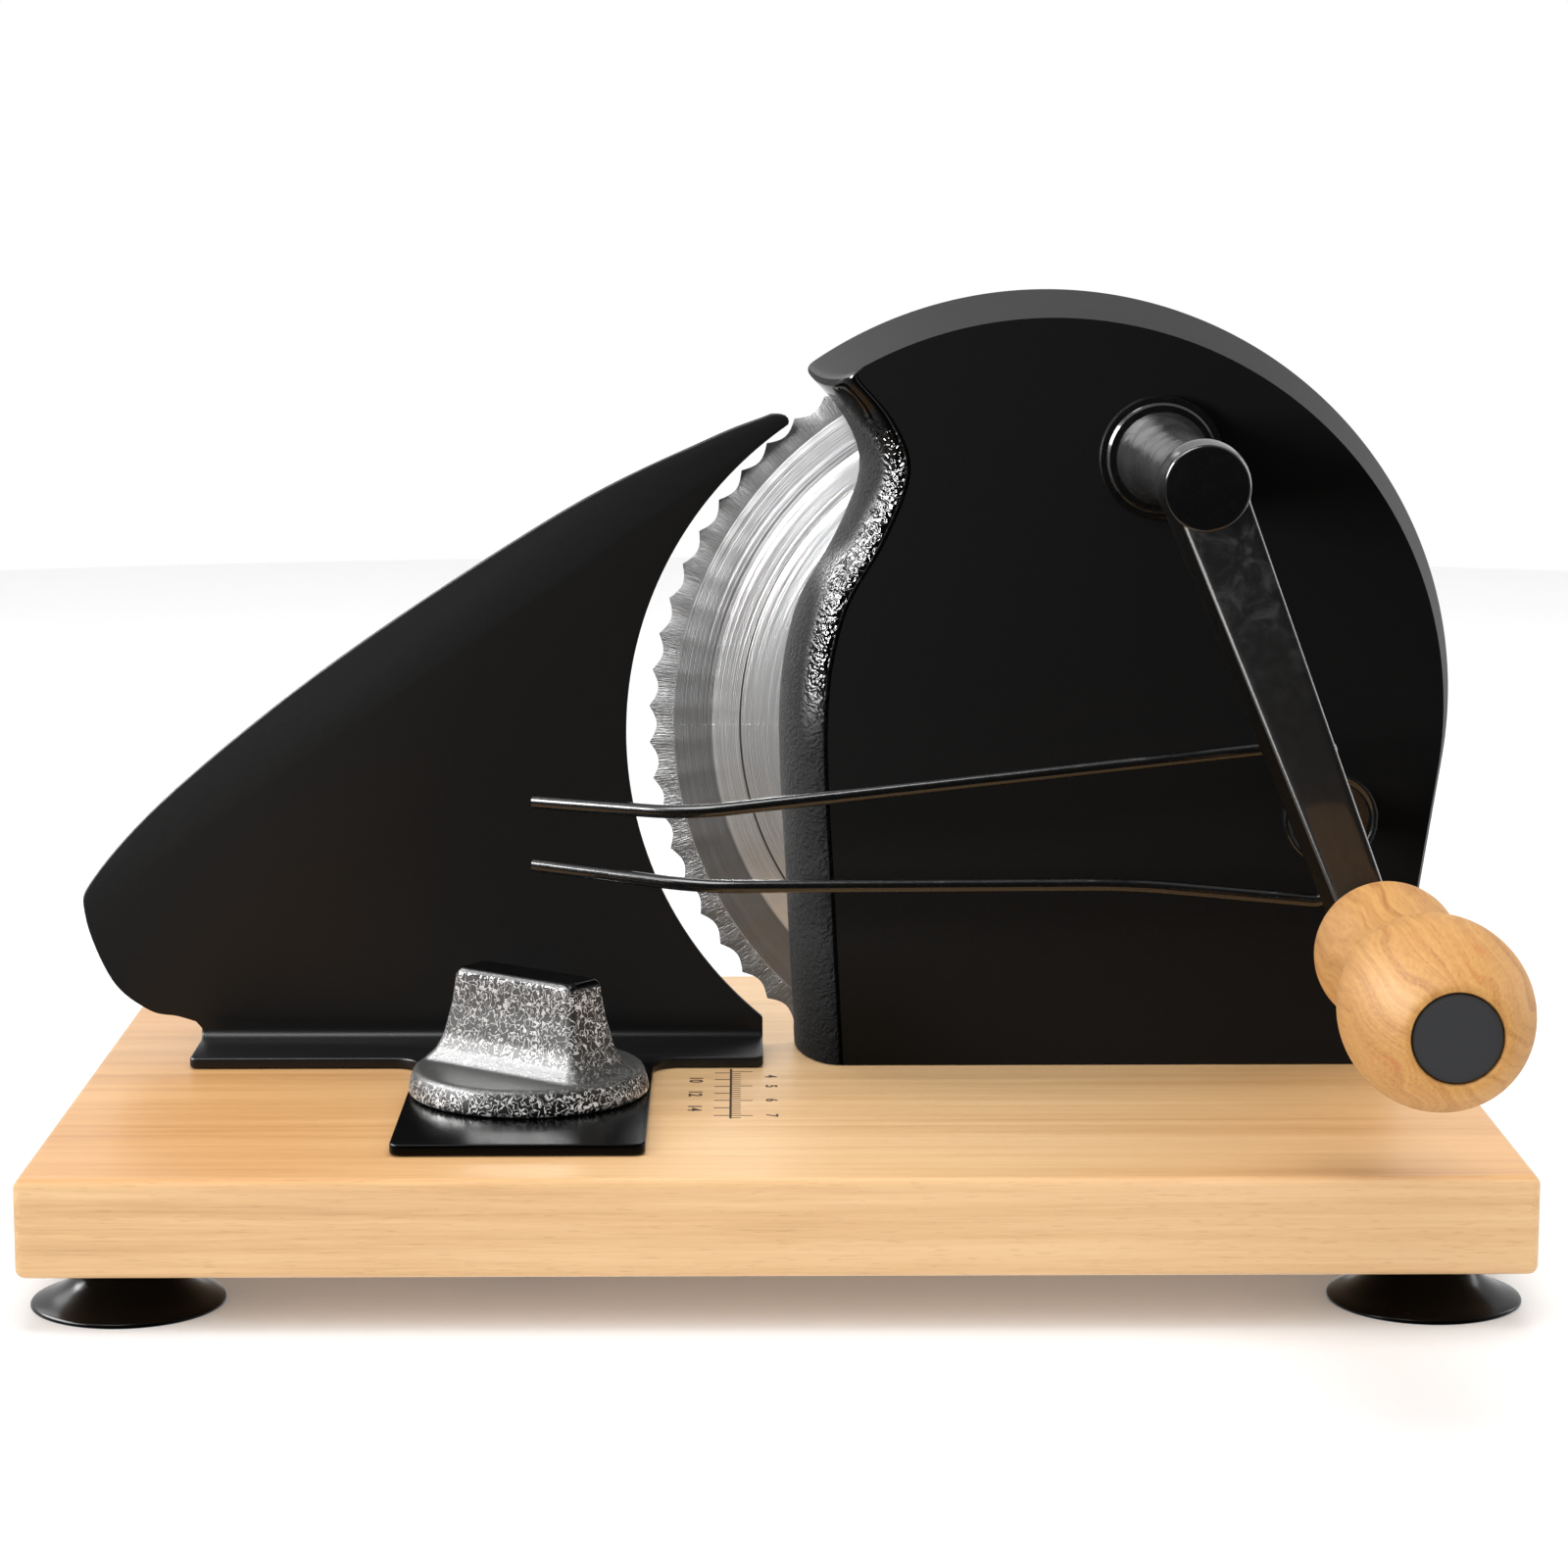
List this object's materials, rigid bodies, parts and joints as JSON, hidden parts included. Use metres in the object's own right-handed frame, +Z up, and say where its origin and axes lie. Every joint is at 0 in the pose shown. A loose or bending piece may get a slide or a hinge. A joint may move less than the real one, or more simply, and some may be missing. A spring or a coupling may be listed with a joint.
{
  "type": "manual bread slicer",
  "caption": "Hand-cranked round-blade bread slicer on a wooden board with suction cups, sliding stop plate, clamp knob and swinging slice guard.",
  "frame": {"origin": "middle of the footprint, on the plane of the suction cups' rims", "axes": "+X to the right as the user at the crank sees it, along the board's length; +Y from the crank handle towards the blade and the rear edge; +Z up"},
  "size_m": [0.3734, 0.3272, 0.2445],
  "materials": {
    "beech": "satin lacquer",
    "turned_wood": "satin lacquer",
    "black_rubber": "glossy",
    "black_sheet": "matt fine texture",
    "black_enamel": "gloss",
    "hammered_silver": "hammered silver and black",
    "stainless": "ground and brushed",
    "zinc_steel": "zinc plated",
    "brass": "machined",
    "cap_grey": "matt"
  },
  "bodies": {
    "base": {"board": "beech", "suction_cup_front_left": "black_rubber", "suction_cup_front_right": "black_rubber", "suction_cup_rear_left": "black_rubber", "suction_cup_rear_right": "black_rubber", "suction_cup_screw_front_left": "zinc_steel", "suction_cup_screw_front_right": "zinc_steel", "suction_cup_screw_rear_left": "zinc_steel", "suction_cup_screw_rear_right": "zinc_steel", "case": "black_enamel", "case_screw_1": "zinc_steel", "case_screw_2": "zinc_steel", "case_screw_3": "zinc_steel", "crank_bush": "black_enamel", "blade_axle": "zinc_steel", "thrust_washer": "zinc_steel", "nut_washer": "zinc_steel", "axle_nut": "zinc_steel", "guard_post": "black_enamel", "guard_screw": "zinc_steel"},
    "fence": {"stop_plate": "black_sheet", "clamp_stud": "zinc_steel", "clamp_plate": "zinc_steel", "guide_pin": "zinc_steel"},
    "knob": {"clamp_knob": "hammered_silver", "knob_insert": "brass"},
    "cutter": {"blade": "stainless", "blade_gear": "brass", "blade_hub": "zinc_steel", "blade_screw_1": "zinc_steel", "blade_screw_2": "zinc_steel", "blade_screw_3": "zinc_steel"},
    "crank": {"crank_arm": "black_enamel", "crank_cap": "black_enamel", "crank_shaft": "zinc_steel", "pinion": "brass", "pinion_washer": "zinc_steel", "shaft_clip": "zinc_steel", "handle_spindle": "zinc_steel"},
    "handle": {"handle_grip": "turned_wood", "handle_cap": "cap_grey"},
    "guard": {"guard_disc": "black_enamel", "guard_wire_upper": "black_enamel", "guard_wire_lower": "black_enamel"}
  },
  "joints": [
    {"name": "fence_slide", "type": "slide", "parent": "base", "child": "fence", "axis": [0, -1, 0], "range_m": [-0.0015, 0.018]},
    {"name": "knob_turn", "type": "hinge", "parent": "fence", "child": "knob", "pos_m": [-0.06177, 0.00095, 0.0411], "axis": [0, 0, 1], "range_deg": [0, 90]},
    {"name": "blade_spin", "type": "hinge", "parent": "base", "child": "cutter", "pos_m": [0.07493, 0.07, 0.1268], "axis": [0, 1, 0], "continuous": true},
    {"name": "crank_spin", "type": "hinge", "parent": "base", "child": "crank", "pos_m": [0.10373, 0, 0.20144], "axis": [0, 1, 0], "continuous": true},
    {"name": "handle_spin", "type": "hinge", "parent": "crank", "child": "handle", "pos_m": [0.14742, -0.1, 0.09107], "axis": [0, 1, 0], "continuous": true},
    {"name": "guard_swing", "type": "hinge", "parent": "base", "child": "guard", "pos_m": [0.14703, 0.02055, 0.1088], "axis": [0, 1, 0], "range_deg": [0, 40]}
  ],
  "couplings": [
    {"joint": "crank_spin", "follows": "blade_spin", "ratio": -3}
  ]
}
